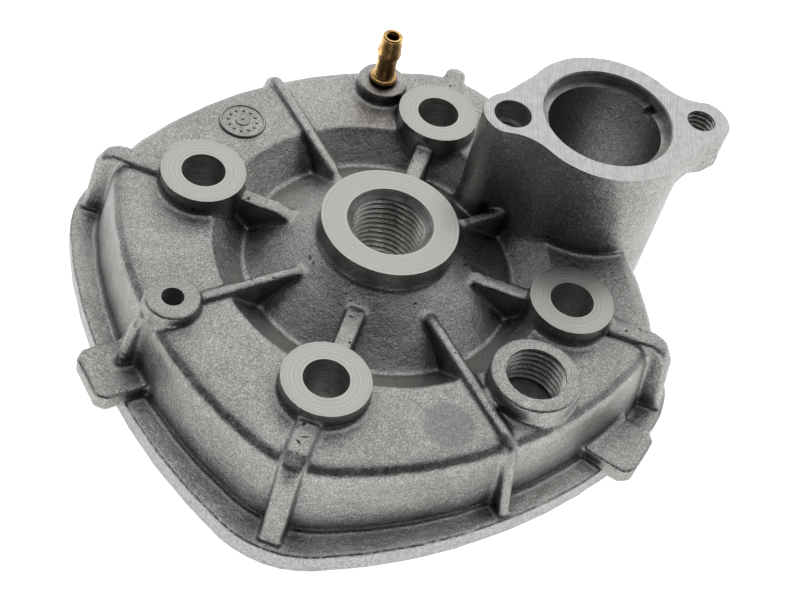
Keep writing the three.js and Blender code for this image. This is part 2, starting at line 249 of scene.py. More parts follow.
def shade(mesh, degrees=32):
    mesh.polygons.foreach_set("use_smooth", np.ones(len(mesh.polygons), bool))
    mesh.set_sharp_from_angle(angle=math.radians(degrees))


def apply_modifiers(obj):
    """The object's mesh becomes what its modifiers make of it."""
    graph = bpy.context.evaluated_depsgraph_get()
    mesh = bpy.data.meshes.new_from_object(obj.evaluated_get(graph))
    obj.modifiers.clear()
    obj.data = mesh


# ------------------------------------------------------------------ the casting, as cast


def cad_triangles(node):
    """A CAD node's corners, in millimetres about the plug axis, and its triangles."""
    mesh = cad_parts[node].data
    mesh.calc_loop_triangles()
    points = np.empty(len(mesh.vertices) * 3, np.float32)
    mesh.vertices.foreach_get("co", points)
    triangles = np.empty(len(mesh.loop_triangles) * 3, np.int32)
    mesh.loop_triangles.foreach_get("vertices", triangles)
    points = points.reshape(-1, 3) / MM
    points[:, 0] -= PLUG_X
    return points, triangles.reshape(-1, 3).astype(np.uint32)


def filled_holes():
    """Solids a little wider than each hole that is machined later, to close it, and the ribs' tops."""
    return [
        cylinder((0, 0), 8.2, -ALLOWANCE, PLUG_SEAT_Z + ALLOWANCE),
        cylinder((0, 0), 26, -ALLOWANCE, 2.6),
        cylinder((0, 0), 16, -ALLOWANCE, 7.2),
        jacket_ring(1.6, -ALLOWANCE, 2.6),
        *[cylinder(stud, 4.3, -ALLOWANCE, STUD_SEAT_Z + ALLOWANCE) for stud in STUDS],
        cylinder(SENSOR, 5.8, SENSOR_FLOOR_Z - 0.6, SENSOR_TOP_Z),
        cylinder(BLIND, 2.3, BLIND_FLOOR_Z - 0.3, BLIND_TOP_Z),
        cylinder((HOUSING_X, 0), 12.9, HOUSING_FILL_Z, HOUSING_FACE_Z + ALLOWANCE),
        cylinder(LEFT_EAR, 3.8, 19.5, HOUSING_FACE_Z + ALLOWANCE),
        cylinder(RIGHT_EAR, 3.3, EAR_BOTTOM_Z + 0.6, HOUSING_FACE_Z + ALLOWANCE),
        *rib_bars(),
    ]


def bar(path, radius, sides=14):
    """A round bar along a path in a vertical plane, with domed ends."""
    path = [Vector(p) for p in path]
    first, last = (path[1] - path[0]).normalized(), (path[-1] - path[-2]).normalized()
    dome = ((0.35, 0.94), (0.7, 0.71), (0.95, 0.3))
    stations = [(path[0] - first * radius * k, radius * w) for k, w in reversed(dome)]
    stations += [(point, radius) for point in path]
    stations += [(path[-1] + last * radius * k, radius * w) for k, w in dome]
    centres = [point for point, _ in stations]
    points, faces = [], []
    for i, (centre, size) in enumerate(stations):
        along = (centres[min(i + 1, len(centres) - 1)] - centres[max(i - 1, 0)]).normalized()
        side = along.cross(Vector((0, 0, 1))).normalized()
        lift = side.cross(along)
        for k in range(sides):
            a = TAU * k / sides
            points.append(tuple(centre + (side * math.cos(a) + lift * math.sin(a)) * size))
    for i in range(len(stations) - 1):
        for k in range(sides):
            a, b = i * sides + k, i * sides + (k + 1) % sides
            faces.append([a, b, b + sides, a + sides])
    faces.append(list(range(sides - 1, -1, -1)))
    faces.append(list(range((len(stations) - 1) * sides, len(stations) * sides)))
    return points, faces


def rib_bars():
    """The ribs' round tops: out of the cone, level over the deck, and down the wall to the flange."""
    over_edge = LEVEL - 2.6
    paths = []
    for ribs, radius, dip in ((THIN_RIBS, THIN_BAR, 1.4), (THICK_RIBS, THICK_BAR, 1.9)):
        for degrees, start, level_from, end in ribs:
            top = LEVEL - radius
            paths.append((degrees, radius, [(start, LEVEL - dip), (level_from, top), (end, top)]))
    for degrees, edge, foot in CORNER_RIBS:
        top = LEVEL - CORNER_BAR
        paths.append((degrees, CORNER_BAR, [
            (40, top), (edge - 4, top), (edge - 2, over_edge), (edge - 0.9, 15.3),
            (foot - CORNER_BAR, 5.4),
        ]))
    for degrees, edge, under, wall in WALL_RIBS:
        paths.append((degrees, THIN_BAR, [
            (edge, LEVEL - THIN_BAR), (under, over_edge), (wall, 14.5), (48, 5.2),
        ]))
    bars = []
    for degrees, radius, path in paths:
        c, s = math.cos(math.radians(degrees)), math.sin(math.radians(degrees))
        bars.append(bar([(c * r, s * r, z) for r, z in path], radius))
    return bars


def rough_casting():
    """Corners and triangles of the unmachined solid: CAD, allowance on machined planes, filled holes."""
    points, triangles = cad_triangles("head_casting")
    for level in (HOUSING_FACE_Z, STUD_SEAT_Z, PLUG_SEAT_Z):
        points[abs(points[:, 2] - level) < 0.02, 2] += ALLOWANCE
    points[abs(points[:, 2]) < 0.02, 2] -= ALLOWANCE
    all_points, all_triangles = [points], [triangles]
    base = len(points)
    for solid_points, faces in filled_holes():
        all_points.append(np.array(solid_points, np.float32))
        fans = [[f[0], f[k], f[k + 1]] for f in faces for k in range(1, len(f) - 1)]
        all_triangles.append(np.array(fans, np.uint32) + base)
        base += len(solid_points)
    return np.concatenate(all_points), np.concatenate(all_triangles), None


def level_set(shape, reach):
    """The shape's signed distances, good to at least the reach on both sides of its surface."""
    points, triangles, quads = shape
    return openvdb.FloatGrid.createLevelSetFromPolygons(
        points, triangles=triangles, quads=quads,
        transform=openvdb.createLinearTransform(voxelSize=VOXEL), halfWidth=reach / VOXEL + 2,
    )


def offset(shape, distance):
    """The shape grown by the distance, or shrunk by a negative one."""
    return level_set(shape, abs(distance)).convertToPolygons(isovalue=distance)


def distances(shape, reach, origin, size):
    """The shape's signed distances as an array over the voxel box."""
    field = np.empty(size, np.float32)
    level_set(shape, reach).copyToArray(field, ijk=origin)
    return field


def near_ribs(origin, size):
    """1 close to a rib's centre line and 0 away from it, over the voxel box."""
    x = (np.arange(size[0]) + origin[0])[:, None] * VOXEL
    y = (np.arange(size[1]) + origin[1])[None, :] * VOXEL
    radius = np.hypot(x, y)
    weight = np.zeros((size[0], size[1]), np.float32)
    for degrees in range(0, 360, 45):
        c, s = math.cos(math.radians(degrees)), math.sin(math.radians(degrees))
        across = abs(s * x - c * y)
        ahead = (c * x + s * y) > 0
        close = np.clip((4 - across) / 1.2, 0, 1)
        weight = np.maximum(weight, close * ahead * (radius > 14) * (radius < 60))
    bosses = ((BLIND, 5.4), (SENSOR, 8.4), ((NIPPLE_X, NIPPLE_Y), 5.4))
    for (boss_x, boss_y), boss_r in bosses:
        weight *= np.clip((np.hypot(x - boss_x, y - boss_y) - boss_r) / 0.6, 0, 1)
    height = (np.arange(size[2]) + origin[2]) * VOXEL
    return weight[:, :, None] * np.clip((height - FLANGE_TOP_Z - 0.6) / 0.8, 0, 1)[None, None, :]


def rounded_casting():
    """The rough casting with fillets in its corners and its outer edges rounded, ribs most of all."""
    rough = rough_casting()
    low = rough[0].min(axis=0) - 3
    high = rough[0].max(axis=0) + 3
    origin = tuple(int(v) for v in np.floor(low / VOXEL))
    size = tuple(int(v) for v in np.ceil((high - low) / VOXEL))
    grown = offset(rough, FILLET)
    fields = []
    for radius in (EDGE_RADIUS, RIB_EDGE_RADIUS):
        core = offset(grown, -FILLET - radius)
        fields.append(distances(core, radius + 1, origin, size) - radius)
    weight = near_ribs(origin, size)
    field = fields[0] + (fields[1] - fields[0]) * weight
    grid = openvdb.FloatGrid(float(field.max()))
    grid.copyFromArray(field, ijk=origin, tolerance=1e-4)
    grid.transform = openvdb.createLinearTransform(voxelSize=VOXEL)
    return grid.convertToPolygons(isovalue=0)


def lattice_noise(points, cell, seed):
    """Smooth noise from -1 to 1 at each point, with features about one cell across."""
    table = np.random.default_rng(seed).uniform(-1, 1, (64, 64, 64)).astype(np.float32)
    place = points / cell
    floor = np.floor(place).astype(int)
    part = place - floor
    part = part * part * (3 - 2 * part)
    total = np.zeros(len(points), np.float32)
    for corner in np.ndindex(2, 2, 2):
        index = (floor + corner) % 64
        share = np.prod(np.where(corner, part, 1 - part), axis=1)
        total += share * table[index[:, 0], index[:, 1], index[:, 2]]
    return total


def as_cast_object():
    """The rounded casting as a Blender object, with the faint waves of a foundry surface."""
    points, triangles, quads = rounded_casting()
    counts = np.concatenate([np.full(len(triangles), 3), np.full(len(quads), 4)])
    corners = np.concatenate([triangles.ravel(), quads.ravel()]).astype(np.int32)
    mesh = bpy.data.meshes.new("head_casting_visual")
    mesh.vertices.add(len(points))
    mesh.loops.add(len(corners))
    mesh.polygons.add(len(counts))
    mesh.loops.foreach_set("vertex_index", corners)
    starts = np.concatenate([[0], np.cumsum(counts)[:-1]])
    mesh.polygons.foreach_set("loop_start", starts.astype(np.int32))
    world = (points + (PLUG_X, 0, 0)) * MM
    mesh.vertices.foreach_set("co", world.astype(np.float32).ravel())
    mesh.update(calc_edges=True)
    mesh.validate()
    face_outwards(mesh)
    normals = np.empty(len(points) * 3, np.float32)
    mesh.vertices.foreach_get("normal", normals)
    waves = 0.07 * lattice_noise(points, 6.5, 1) + 0.045 * lattice_noise(points, 2.4, 2)
    world += normals.reshape(-1, 3) * waves[:, None] * MM
    mesh.vertices.foreach_set("co", world.astype(np.float32).ravel())
    obj = add_object("head_casting_visual", mesh)
    shrink = obj.modifiers.new("fewer", "DECIMATE")
    mesh.calc_loop_triangles()
    shrink.ratio = CASTING_TRIANGLES / len(mesh.loop_triangles)
    apply_modifiers(obj)
    return obj


def face_outwards(mesh):
    """Flips a closed mesh that is inside out."""
    mesh.calc_loop_triangles()
    points = np.empty(len(mesh.vertices) * 3, np.float32)
    mesh.vertices.foreach_get("co", points)
    triangles = np.empty(len(mesh.loop_triangles) * 3, np.int32)
    mesh.loop_triangles.foreach_get("vertices", triangles)
    a, b, c = points.reshape(-1, 3)[triangles.reshape(-1, 3)].transpose(1, 0, 2)
    if np.einsum("ij,ij->i", a, np.cross(b, c)).sum() < 0:
        mesh.flip_normals()


# ------------------------------------------------------------------ machining


def plane_cuts():
    """The joint face and the thermostat housing's face, milled flat."""
    return [box(-80, 90, -80, 80, -9, 0), box(-80, 90, -80, 80, HOUSING_FACE_Z, HOUSING_FACE_Z + 9)]


def turned_cuts():
    """Everything bored, drilled, counterbored or spot faced."""
    below, above = -3, HOUSING_FACE_Z + 6
    cuts = [
        lathe([
            (0, below), (CHAMBER_MOUTH_R, below), (CHAMBER_MOUTH_R, 0.6), (15.6, 1.3), (14.4, 3.2),
            (11.6, 5.2), (7.6, 7), (PLUG_BORE_R, CHAMBER_TOP_Z), (PLUG_BORE_R, 24), (6.4, 24.2),
            (7.6, PLUG_SEAT_Z), (PLUG_SEAT_R, PLUG_SEAT_Z), (PLUG_SEAT_R, 32), (0, 32),
        ], steps=96),
        ring(CHAMBER_SEAL_R - GROOVE_HALF, CHAMBER_SEAL_R + GROOVE_HALF, below, GROOVE_DEPTH),
        jacket_ring(GROOVE_HALF, below, GROOVE_DEPTH),
        lathe([
            (0, SENSOR_FLOOR_Z), (SENSOR_BORE_R, SENSOR_FLOOR_Z), (SENSOR_BORE_R, SENSOR_LIP_Z),
            (SENSOR_THREAD[0] + 0.1, SENSOR_LIP_Z), (SENSOR_THREAD[0] + 0.15, SENSOR_TOP_Z),
            (SENSOR_THREAD[0] + 0.15, 27), (0, 27),
        ], *SENSOR),
        lathe([
            (0, BLIND_FLOOR_Z - 0.9), (BLIND_R, BLIND_FLOOR_Z), (BLIND_R, 26), (0, 26),
        ], *BLIND, steps=40),
        lathe([
            (0, HOUSING_FILL_Z - 0.5), (HOUSING_BORE_R, HOUSING_FILL_Z - 0.5),
            (HOUSING_BORE_R, SEAT_Z), (SEAT_R, SEAT_Z), (SEAT_R, HOUSING_FACE_Z - 0.25),
            (SEAT_R + 0.25, HOUSING_FACE_Z), (SEAT_R + 0.25, above), (0, above),
        ], HOUSING_X, 0, steps=96),
        lathe([
            (0, 19.2), (COVER_BORE_R, 20.4), (COVER_BORE_R, LEFT_THREAD_TOP_Z),
            (COVER_THREAD[0], LEFT_THREAD_TOP_Z), (COUNTERBORE_R, COUNTERBORE_Z),
            (COUNTERBORE_R, HOUSING_FACE_Z - 0.15), (COUNTERBORE_R + 0.1, HOUSING_FACE_Z),
            (COUNTERBORE_R + 0.1, above), (0, above),
        ], *LEFT_EAR, steps=48),
        lathe([
            (0, EAR_BOTTOM_Z - 1), (COVER_THREAD[0] + 0.1, EAR_BOTTOM_Z - 1),
            (COVER_THREAD[0] + 0.1, RIGHT_THREAD_Z), (COVER_BORE_R, RIGHT_THREAD_Z),
            (COVER_BORE_R, RIGHT_THREAD_TOP_Z), (COVER_THREAD[0], RIGHT_THREAD_TOP_Z),
            (COVER_THREAD[0] + 0.1, HOUSING_FACE_Z), (COVER_THREAD[0] + 0.1, above), (0, above),
        ], *RIGHT_EAR, steps=48),
    ]
    for stud in STUDS:
        cuts.append(lathe([
            (0, below), (STUD_HOLE_R, below), (STUD_HOLE_R, STUD_SEAT_Z), (SPOT_FACE_R, STUD_SEAT_Z),
            (SPOT_FACE_R, 28), (0, 28),
        ], *stud, steps=72))
    return cuts


def seat_notch():
    """The small notch across the thermostat's seat."""
    notch = box(SEAT_R - 1.6, SEAT_R + 0.9, -1, 1, SEAT_Z - 1.4, SEAT_Z + 0.4)
    return [turned_by(notch, 5, HOUSING_X)]


def machine(obj):
    """Cuts the casting to size, one kind of tool after another."""
    for cuts in (plane_cuts(), turned_cuts(), seat_notch()):
        tool = add_object("tool", mesh_of("tool", cuts))
        boolean = obj.modifiers.new("cut", "BOOLEAN")
        boolean.operation = "DIFFERENCE"
        boolean.solver = "MANIFOLD"
        boolean.object = tool
        apply_modifiers(obj)
        bpy.data.objects.remove(tool)


# The casting's material slots, in order, and how close to a machined plane a face on it lies.
CAST, TURNED, MILLED, DRILLED, TRIMMED = range(5)
ON_PLANE = 0.02


def face_slots(centres, normals):
    """Which finish each face of the casting has, from where it lies."""
    x, y, z = centres.T
    up = normals[:, 2]
    slots = np.full(len(centres), CAST)

    def within(centre, radius):
        return np.hypot(x - centre[0], y - centre[1]) < radius

    rim = (z < FLANGE_TOP_Z - 0.35) & (abs(up) < 0.75)
    near_edge = (abs(x) ** 3 + abs(y) ** 3) ** (1 / 3) > 47.6
    slots[rim & near_edge] = TRIMMED
    slots[(z < ON_PLANE) & (up < -0.9)] = TURNED
    slots[within((0, 0), CHAMBER_MOUTH_R + 0.1) & (z < CHAMBER_TOP_Z + 0.05)] = TURNED
    for stud in STUDS:
        slots[within(stud, STUD_HOLE_R + 0.03)] = DRILLED
        slots[within(stud, SPOT_FACE_R) & (abs(z - STUD_SEAT_Z) < ON_PLANE) & (up > 0.9)] = TURNED
    slots[within((0, 0), 7.65) & (z > CHAMBER_TOP_Z - 0.1)] = DRILLED
    slots[within((0, 0), PLUG_SEAT_R) & (abs(z - PLUG_SEAT_Z) < ON_PLANE)] = TURNED
    in_hole = (abs(up) < 0.5) | (z < SENSOR_TOP_Z - 2)
    slots[within(SENSOR, SENSOR_THREAD[1] + 0.2) & in_hole] = DRILLED
    slots[within(BLIND, BLIND_R + 0.05) & (abs(up) < 0.5)] = DRILLED
    in_housing = (z > HOUSING_FILL_Z) & (z < SEAT_Z - 0.01)
    slots[within((HOUSING_X, 0), SEAT_R + 1) & (z > SEAT_Z - 1.6)] = DRILLED
    slots[within((HOUSING_X, 0), HOUSING_BORE_R - 0.005) & in_housing] = CAST
    slots[(z > HOUSING_FACE_Z - ON_PLANE) & (up > 0.9)] = MILLED
    below_face = z < HOUSING_FACE_Z - 0.01
    slots[within(LEFT_EAR, COUNTERBORE_R + 0.25) & (z > 19) & below_face] = DRILLED
    slots[within(RIGHT_EAR, COVER_THREAD[1] + 0.35) & below_face & (abs(up) < 0.5)] = DRILLED
    return slots


def finish_casting(obj, materials):
    """Material slots by face, and on every corner its offset from the nearest turning centre."""
    mesh = obj.data
    mesh.materials.clear()
    for material in materials:
        mesh.materials.append(material)
    count = len(mesh.polygons)
    centres, normals = np.empty(count * 3, np.float32), np.empty(count * 3, np.float32)
    mesh.polygons.foreach_get("center", centres)
    mesh.polygons.foreach_get("normal", normals)
    centres = centres.reshape(-1, 3) / MM - (PLUG_X, 0, 0)
    slots = face_slots(centres, normals.reshape(-1, 3))
    mesh.polygons.foreach_set("material_index", slots.astype(np.int32))
    points = np.empty(len(mesh.vertices) * 3, np.float32)
    mesh.vertices.foreach_get("co", points)
    points = points.reshape(-1, 3) - (PLUG_X * MM, 0, 0)
    offsets = points.copy()
    for stud in STUDS:
        near = np.hypot(points[:, 0] - stud[0] * MM, points[:, 1] - stud[1] * MM) < 9 * MM
        near &= points[:, 2] > DECK_Z * MM
        offsets[near] = points[near] - (stud[0] * MM, stud[1] * MM, 0)
    attribute = mesh.attributes.new("turning", "FLOAT_VECTOR", "POINT")
    attribute.data.foreach_set("vector", offsets.astype(np.float32).ravel())
    shade(mesh)


# ------------------------------------------------------------------ pieces of their own


def thread(name, thread_size, centre, low, high, steps):
    """A right-handed internal thread: a sleeve whose inner wall is the cut thread."""
    crest, root, pitch = thread_size
    rows_per_turn, wall = 9, 0.25
    rows = int((high - low) / pitch * rows_per_turn)
    loops, grooves = [], []
    for row in range(rows + 1):
        z = low + (high - low) * row / rows
        loop = []
        for i in range(steps):
            a = TAU * i / steps
            phase = (z / pitch - i / steps) % 1
            depth = min(1, max(0, abs(2 * phase - 1) * 1.3 - 0.12))
            r = crest + (root - crest) * depth
            grooves.append(depth)
            loop.append((centre[0] + r * math.cos(a), centre[1] + r * math.sin(a), z))
        loops.append(loop)
    for z in (high, low):
        loops.append([(centre[0] + x, centre[1] + y, z) for x, y in circle(root + wall, steps)])
    grooves += [0] * (2 * steps)
    mesh = mesh_of(name, [swept(loops)])
    face_outwards(mesh)
    mesh.attributes.new("groove", "FLOAT", "POINT").data.foreach_set("value", grooves)
    shade(mesh, 50)
    return add_object(name, mesh)


def nipple():
    """The turned bleed nipple: a collar, a waist, a barb and a chamfered, drilled tip."""
    base = nipple_high[2] / MM - NIPPLE_HEIGHT
    profile = [
        (0.95, -9), (1.9, -9), (1.9, 0.3), (2.3, 0.3), (2.5, 0.5), (2.52, 0.9), (2.42, 1.15),
        (2.15, 1.25), (1.98, 1.5), (1.9, 1.9), (1.88, 3.6), (1.9, 5.5), (1.95, 5.75), (2.12, 6.3),
        (2.25, 6.75), (2.28, 7.0), (2.24, 7.2), (2.1, 7.9), (1.98, 9.2), (1.9, 10.3), (1.84, 10.75),
        (1.7, NIPPLE_HEIGHT), (1.36, NIPPLE_HEIGHT), (1.2, 10.8), (0.97, 10.35), (0.95, 10.0),
    ]
    loops = [[(NIPPLE_X + x, NIPPLE_Y + y, base + z) for x, y in circle(r, 56)] for r, z in profile]
    mesh = mesh_of("bleed_nipple_visual", [swept(loops)])
    face_outwards(mesh)
    shade(mesh, 40)
    return add_object("bleed_nipple_visual", mesh)


def date_dial():
    """A foundry's round date dial: raised rim, ring of pips and a slotted middle, with no lettering."""
    x, y = DATE_DIAL
    plate = [
        (0, -0.8), (4.3, -0.8), (4.3, 0.25), (4.15, 0.38), (3.85, 0.38), (3.72, 0.22), (1.35, 0.22),
        (1.25, 0.38), (0.35, 0.38), (0.3, 0.25), (0, 0.25),
    ]
    pip = [(0, 0), (0.3, 0), (0.3, 0.3), (0.2, 0.4), (0, 0.43)]
    solids = [lathe([(r, DECK_Z + z) for r, z in plate], x, y)]
    for dx, dy in circle(2.6, 12):
        solids.append(lathe([(r, DECK_Z + z) for r, z in pip], x + dx, y + dy, 12))
    mesh = mesh_of("date_dial", solids)
    shade(mesh, 35)
    return add_object("date_dial", mesh)


def seal_ring(name, outline):
    """A moulded rubber ring: a round section along the outline, with the mould's fine flash line."""
    sides = 20
    loops = []
    for k in range(sides):
        a = TAU * k / sides
        flash = 0.05 if k in (0, sides // 2) else 0
        grow, z = (1 + flash) * math.cos(a), 1 + math.sin(a)
        loops.append([(x, y, z) for x, y in outline(grow)])
    mesh = mesh_of(name, [swept(loops)])
    face_outwards(mesh)
    shade(mesh, 60)
    return add_object(name, mesh)


# ------------------------------------------------------------------ materials


class Shader:
    """A short way to write a Principled material's nodes."""

    def __init__(self, name, colour, metallic, roughness):
        self.material = bpy.data.materials.new(name)
        self.material.use_nodes = True
        self.tree = self.material.node_tree
        self.surface = self.tree.nodes["Principled BSDF"]
        self.surface.inputs["Base Color"].default_value = (*colour, 1)
        self.surface.inputs["Metallic"].default_value = metallic
        self.surface.inputs["Roughness"].default_value = roughness
        self.place = self.add("ShaderNodeTexCoord").outputs["Object"]

    def add(self, kind, inputs=None, **settings):
        node = self.tree.nodes.new(kind)
        for key, value in settings.items():
            setattr(node, key, value)
        for key, value in (inputs or {}).items():
            if isinstance(value, bpy.types.NodeSocket):
                self.tree.links.new(value, node.inputs[key])
            else:
                node.inputs[key].default_value = value
        return node

    def link(self, value, socket):
        self.tree.links.new(value, self.surface.inputs[socket])

    def noise(self, size_mm, detail=2, rough=0.5, vector=None, distortion=0):
        node = self.add("ShaderNodeTexNoise", {
            "Vector": vector or self.place, "Scale": 1000 / size_mm, "Detail": detail, "Roughness": rough,
            "Distortion": distortion,
        })
        return node.outputs["Fac"]

    def cells(self, size_mm):
        node = self.add("ShaderNodeTexVoronoi", {"Vector": self.place, "Scale": 1000 / size_mm})
        return node.outputs["Distance"]

    def math(self, operation, a, b=0.0, c=0.0):
        return self.add("ShaderNodeMath", {0: a, 1: b, 2: c}, operation=operation).outputs[0]

    def remap(self, value, low, high, to_low=0.0, to_high=1.0):
        node = self.add("ShaderNodeMapRange", {
            "Value": value, "From Min": low, "From Max": high, "To Min": to_low, "To Max": to_high,
        }, interpolation_type="SMOOTHSTEP")
        return node.outputs["Result"]

    def mix(self, share, a, b):
        node = self.add("ShaderNodeMix", data_type="RGBA")
        for index, value in ((0, share), (6, a), (7, b)):
            if isinstance(value, bpy.types.NodeSocket):
                self.tree.links.new(value, node.inputs[index])
            elif index:
                node.inputs[index].default_value = (*value, 1)
            else:
                node.inputs[index].default_value = value
        return node.outputs[2]

    def squashed(self, sideways):
        """Coordinates in which every pattern is drawn out into rings about the vertical."""
        return self.add("ShaderNodeVectorMath", {0: self.place, 1: (sideways, sideways, 1)},
                        operation="MULTIPLY").outputs[0]

    def away_from(self, x, y, z):
        """Distance from a point given in millimetres about the plug axis."""
        point = ((x + PLUG_X) * MM, y * MM, z * MM)
        return self.add("ShaderNodeVectorMath", {0: self.place, 1: point},
                        operation="DISTANCE").outputs["Value"]

    def tool_marks(self, distance, scale, detail, rough):
        """Noise that changes only with the distance, as a cutting tool's marks do."""
        along = self.add("ShaderNodeCombineXYZ", {0: self.math("MULTIPLY", distance, 1 / MM)})
        return self.add("ShaderNodeTexNoise", {
            "Vector": along.outputs[0], "Scale": scale, "Detail": detail, "Roughness": rough,
        }).outputs["Fac"]

    def bump(self, height, depth_mm, before=None):
        inputs = {"Height": height, "Distance": depth_mm * MM, "Strength": 1.0}
        if before:
            inputs["Normal"] = before
        return self.add("ShaderNodeBump", inputs).outputs["Normal"]

    def height(self):
        return self.add("ShaderNodeSeparateXYZ", {0: self.place}).outputs["Z"]

    def shelter(self, reach_mm):
        """1 in the open and 0 deep in a corner."""
        inputs = {"Distance": reach_mm * MM}
        return self.add("ShaderNodeAmbientOcclusion", inputs, samples=8).outputs["AO"]


def cast_material():
    """Cast aluminium: a fine bright and dark grain, stains and specks, and painted shade darkening the
    corners.
    """
    s = Shader("cast_aluminium", (0.33, 0.327, 0.32), 1, 0.42)
    grain = s.noise(0.26, 2, 0.6)
    coarse = s.noise(1.1, 3, 0.6)
    stain = s.noise(13, 4, 0.6, distortion=0.6)
    specks = s.remap(s.cells(0.75), 0.0, 0.15, 1, 0)
    speckle = s.math("MULTIPLY", specks, s.remap(s.noise(1.9, 2, 0.5), 0.5, 0.6))
    base = s.mix(s.remap(stain, 0.35, 0.68), (0.33, 0.322, 0.312), (0.41, 0.402, 0.391))
    base = s.mix(s.remap(grain, 0.5, 0.72, 0, 0.7), base, (0.66, 0.652, 0.638))
    base = s.mix(s.remap(grain, 0.5, 0.3, 0, 0.65), base, (0.16, 0.156, 0.151))
    base = s.mix(s.math("MULTIPLY", speckle, 0.7), base, (0.85, 0.85, 0.84))
    base = s.mix(disc_mark(s), base, (0.2, 0.197, 0.192))
    base = s.mix(rib_pits(s), base, (0.03, 0.028, 0.026))
    # painted shade: the base colour darkens towards near black where the ambient occlusion finds a corner
    painted_corner_shade = s.remap(s.shelter(4), 0.4, 0.9, 0.68, 0)
    base = s.mix(painted_corner_shade, base, (0.09, 0.086, 0.082))
    s.link(base, "Base Color")
    s.link(s.remap(coarse, 0.3, 0.7, 0.36, 0.48), "Roughness")
    normal = s.bump(coarse, 0.1)
    normal = s.bump(grain, 0.05, normal)
    s.link(normal, "Normal")
    return s.material


def disc_mark(s):
    """A faint smudged disc where the mould's ejector pressed on the deck."""
    ragged = s.math("MULTIPLY_ADD", s.noise(2.2, 3, 0.6), 1.2 * MM, s.away_from(*EJECTOR_DISC, DECK_Z))
    disc = s.remap(ragged, (EJECTOR_R - 0.6) * MM, (EJECTOR_R + 0.6) * MM, 0.6, 0)
    return s.math("MULTIPLY", disc, s.remap(s.noise(0.8, 3, 0.6), 0.3, 0.6, 0.6, 1))


def rib_pits(s):
    """Small gas holes, only along the tops of the ribs above the deck."""
    above = s.remap(s.height(), (DECK_Z + 0.75) * MM, (DECK_Z + 1.0) * MM)
    below = s.remap(s.height(), (DECK_Z + 1.75) * MM, (DECK_Z + 1.55) * MM)
    band = s.math("MULTIPLY", above, below)
    pits = s.remap(s.noise(1.3, 2, 0.5, distortion=0.5), 0.655, 0.7, 0, 0.85)
    return s.math("MULTIPLY", band, pits)


def turned_material():
    """Fine rings about the nearest turning centre, with a regular feed mark among them."""
    s = Shader("turned_seat", (0.6, 0.595, 0.575), 1, 0.3)
    arm = s.add("ShaderNodeAttribute", attribute_name="turning").outputs["Vector"]
    flat = s.add("ShaderNodeVectorMath", {0: arm, 1: (1, 1, 0)}, operation="MULTIPLY").outputs[0]
    radius = s.add("ShaderNodeVectorMath", {0: flat}, operation="LENGTH").outputs["Value"]
    wobble = s.math("MULTIPLY_ADD", s.noise(6, 2), 0.12 * MM, radius)
    marks = s.tool_marks(wobble, 5.5, 4, 0.75)
    feed = s.math("SINE", s.math("MULTIPLY", radius, TAU / (0.32 * MM)))
    height = s.math("MULTIPLY_ADD", feed, 0.22, marks)
    dull = s.noise(3.2, 4, 0.7)
    base = s.mix(s.remap(marks, 0.3, 0.7), (0.27, 0.267, 0.257), (0.58, 0.577, 0.557))
    base = s.mix(s.remap(dull, 0.4, 0.8, 0, 0.25), base, (0.4, 0.395, 0.38))
    s.link(base, "Base Color")
    s.link(s.remap(dull, 0.3, 0.75, 0.3, 0.36), "Roughness")
    s.link(s.bump(height, 0.016), "Normal")
    return s.material


def milled_material():
    """Fly-cut: fine arcs swept about a point well off the face."""
    s = Shader("milled_face", (0.66, 0.66, 0.65), 1, 0.34)
    marks = s.tool_marks(s.away_from(HOUSING_X + 70, -45, HOUSING_FACE_Z), 3.8, 3, 0.7)
    broken = s.noise(1.4, 3, 0.6)
    marks = s.math("MULTIPLY_ADD", broken, 0.35, s.math("MULTIPLY", marks, 0.75))
    base = s.mix(s.remap(marks, 0.4, 0.7), (0.37, 0.375, 0.366), (0.56, 0.567, 0.55))
    s.link(base, "Base Color")
    s.link(s.remap(broken, 0.3, 0.7, 0.3, 0.4), "Roughness")
    s.link(s.bump(marks, 0.03), "Normal")
    return s.material


def drilled_material():
    """Bores: rings left by the tool, patches of stain, and less mirror-like so that light gets in."""
    s = Shader("drilled_bore", (0.5, 0.495, 0.48), 0.45, 0.4)
    marks = s.noise(0.3, 3, 0.7, vector=s.squashed(0.08))
    base = s.mix(s.remap(marks, 0.3, 0.7), (0.3, 0.295, 0.285), (0.56, 0.552, 0.535))
    base = s.mix(s.remap(s.noise(2.6, 4, 0.7), 0.5, 0.7, 0, 0.6), base, (0.2, 0.185, 0.17))
    s.link(base, "Base Color")
    s.link(s.remap(s.noise(2, 3), 0.3, 0.7, 0.3, 0.5), "Roughness")
    s.link(s.bump(marks, 0.03), "Normal")
    return s.material


def trimmed_material():
    """The flange's edge, where the casting's flash was linished off."""
    s = Shader("trimmed_edge", (0.66, 0.655, 0.645), 1, 0.55)
    grain = s.noise(0.5, 4, 0.7)
    patches = s.noise(3.5, 3, 0.6)
    base = s.mix(s.remap(grain, 0.35, 0.65), (0.38, 0.376, 0.368), (0.68, 0.676, 0.668))
    base = s.mix(s.remap(patches, 0.55, 0.75, 0, 0.5), base, (0.4, 0.395, 0.39))
    s.link(base, "Base Color")
    s.link(s.remap(grain, 0.3, 0.7, 0.48, 0.68), "Roughness")
    s.link(s.bump(grain, 0.07, s.bump(patches, 0.08)), "Normal")
    return s.material


